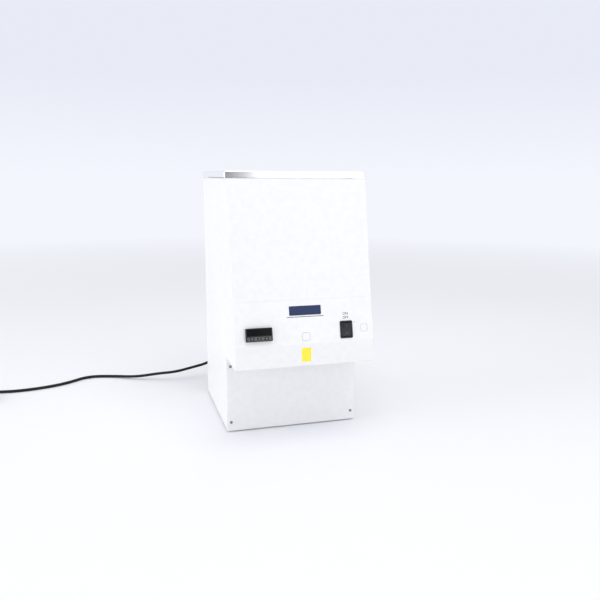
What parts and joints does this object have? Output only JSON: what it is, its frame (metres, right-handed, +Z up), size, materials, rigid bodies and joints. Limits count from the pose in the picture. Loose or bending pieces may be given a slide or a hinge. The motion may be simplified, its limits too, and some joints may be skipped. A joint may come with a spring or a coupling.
{
  "type": "paraffin wax dispenser",
  "caption": "Benchtop heated tank for molten paraffin with a hinged lid, a sloping control face and a solenoid tap under its overhanging nose.",
  "frame": {"origin": "on the bench, at the middle of the object's width and depth, without its cord", "axes": "+Z up; -Y is the front with the controls and the spout; +X is the user's right"},
  "size_m": [0.8595, 0.5297, 0.4975],
  "materials": {
    "white_powder_coat": "fine textured powder coat, satin",
    "polished_steel": "polished stainless steel, fine brushed grain",
    "stainless": "bright stainless steel, drawn",
    "zinc_plate": "zinc-plated steel",
    "screw_steel": "nickel-plated pan heads",
    "aluminium": "machined",
    "brass": "machined",
    "black_plastic": "moulded, fine spark texture",
    "black_gloss": "glossy display filter",
    "grey_plastic": "grey key strip",
    "black_key": "moulded rubber keys",
    "white_nylon": "natural nylon",
    "black_rubber": "moulded rubber",
    "black_pvc": "satin PVC sheath",
    "silicone": "translucent red silicone",
    "seal_silicone": "white silicone",
    "mineral_wool": "bonded mineral wool board",
    "copper_coil": "epoxy encapsulation",
    "lamination": "varnished laminations",
    "winding_tape": "yellow winding tape"
  },
  "bodies": {
    "cabinet": {"right_side_panel": "white_powder_coat", "left_side_panel": "white_powder_coat", "upper_front_panel": "white_powder_coat", "control_panel": "white_powder_coat", "lower_front_panel": "white_powder_coat", "back_panel": "white_powder_coat", "top_deck": "white_powder_coat", "base_pan": "white_powder_coat", "rubber_feet": "black_rubber", "panel_screws": "screw_steel", "hinge_fixed_leaf": "stainless", "hinge_pin": "stainless", "wax_tank": "stainless", "outlet_strainer": "stainless", "side_heater_mats": "silicone", "floor_heater_mat": "silicone", "tank_insulation": "mineral_wool", "support_shelf": "zinc_plate", "temperature_probe": "aluminium", "overheat_thermostat": "black_plastic", "outlet_pipe": "stainless", "valve_block": "aluminium", "valve_heater": "stainless", "valve_bracket": "zinc_plate", "valve_core": "stainless", "solenoid_coil": "copper_coil", "spout": "stainless", "nozzle_collar": "white_nylon", "controller_housing": "black_plastic", "controller_window": "black_gloss", "controller_keypad": "grey_plastic", "controller_clip": "zinc_plate", "tap_switch_housing": "black_plastic", "mains_switch_housing": "black_plastic", "switch_blades": "brass", "cable_gland": "black_plastic", "strain_relief": "black_rubber", "fuse_holder": "black_plastic", "fuse_cap": "black_plastic", "terminal_block": "white_nylon", "relay_heat_sink": "aluminium", "solid_state_relay": "black_plastic", "transformer_core": "lamination", "transformer_winding": "winding_tape", "mains_cord": "black_pvc", "cord_coil": "black_pvc", "plug": "black_rubber"},
    "lid": {"lid_shell": "polished_steel", "lid_inner_skin": "stainless", "lid_insulation": "mineral_wool", "lid_seal": "seal_silicone", "hinge_lid_leaf": "stainless"},
    "plunger": {"valve_plunger": "stainless", "valve_seal": "seal_silicone", "valve_spring": "zinc_plate"},
    "tap_rocker": {"tap_switch_rocker": "black_plastic"},
    "mains_rocker": {"mains_switch_rocker": "black_plastic"},
    "left_key": {"controller_key_left": "black_key"},
    "middle_key": {"controller_key_middle": "black_key"},
    "right_key": {"controller_key_right": "black_key"}
  },
  "joints": [
    {"name": "lid_hinge", "type": "hinge", "parent": "cabinet", "child": "lid", "pos_m": [0, 0.16205, 0.49], "axis": [-1, 0, 0], "range_deg": [0, 100]},
    {"name": "tap_switch_rock", "type": "hinge", "parent": "cabinet", "child": "tap_rocker", "pos_m": [0.0778, -0.17038, 0.21206], "axis": [-1, 0, 0], "range_deg": [0, 20]},
    {"name": "mains_switch_rock", "type": "hinge", "parent": "cabinet", "child": "mains_rocker", "pos_m": [-0.008, 0.165, 0.055], "axis": [1, 0, 0], "range_deg": [0, 20]},
    {"name": "plunger_lift", "type": "slide", "parent": "cabinet", "child": "plunger", "axis": [0, 0, 1], "range_m": [0, 0.003], "stiffness_N_per_m": 400, "springref_m": -0.002, "deforming": ["valve_spring"]},
    {"name": "left_key_press", "type": "slide", "parent": "cabinet", "child": "left_key", "axis": [0, 0.9755, -0.22], "range_m": [0, 0.0006], "stiffness_N_per_m": 600},
    {"name": "middle_key_press", "type": "slide", "parent": "cabinet", "child": "middle_key", "axis": [0, 0.9755, -0.22], "range_m": [0, 0.0006], "stiffness_N_per_m": 600},
    {"name": "right_key_press", "type": "slide", "parent": "cabinet", "child": "right_key", "axis": [0, 0.9755, -0.22], "range_m": [0, 0.0006], "stiffness_N_per_m": 600}
  ]
}
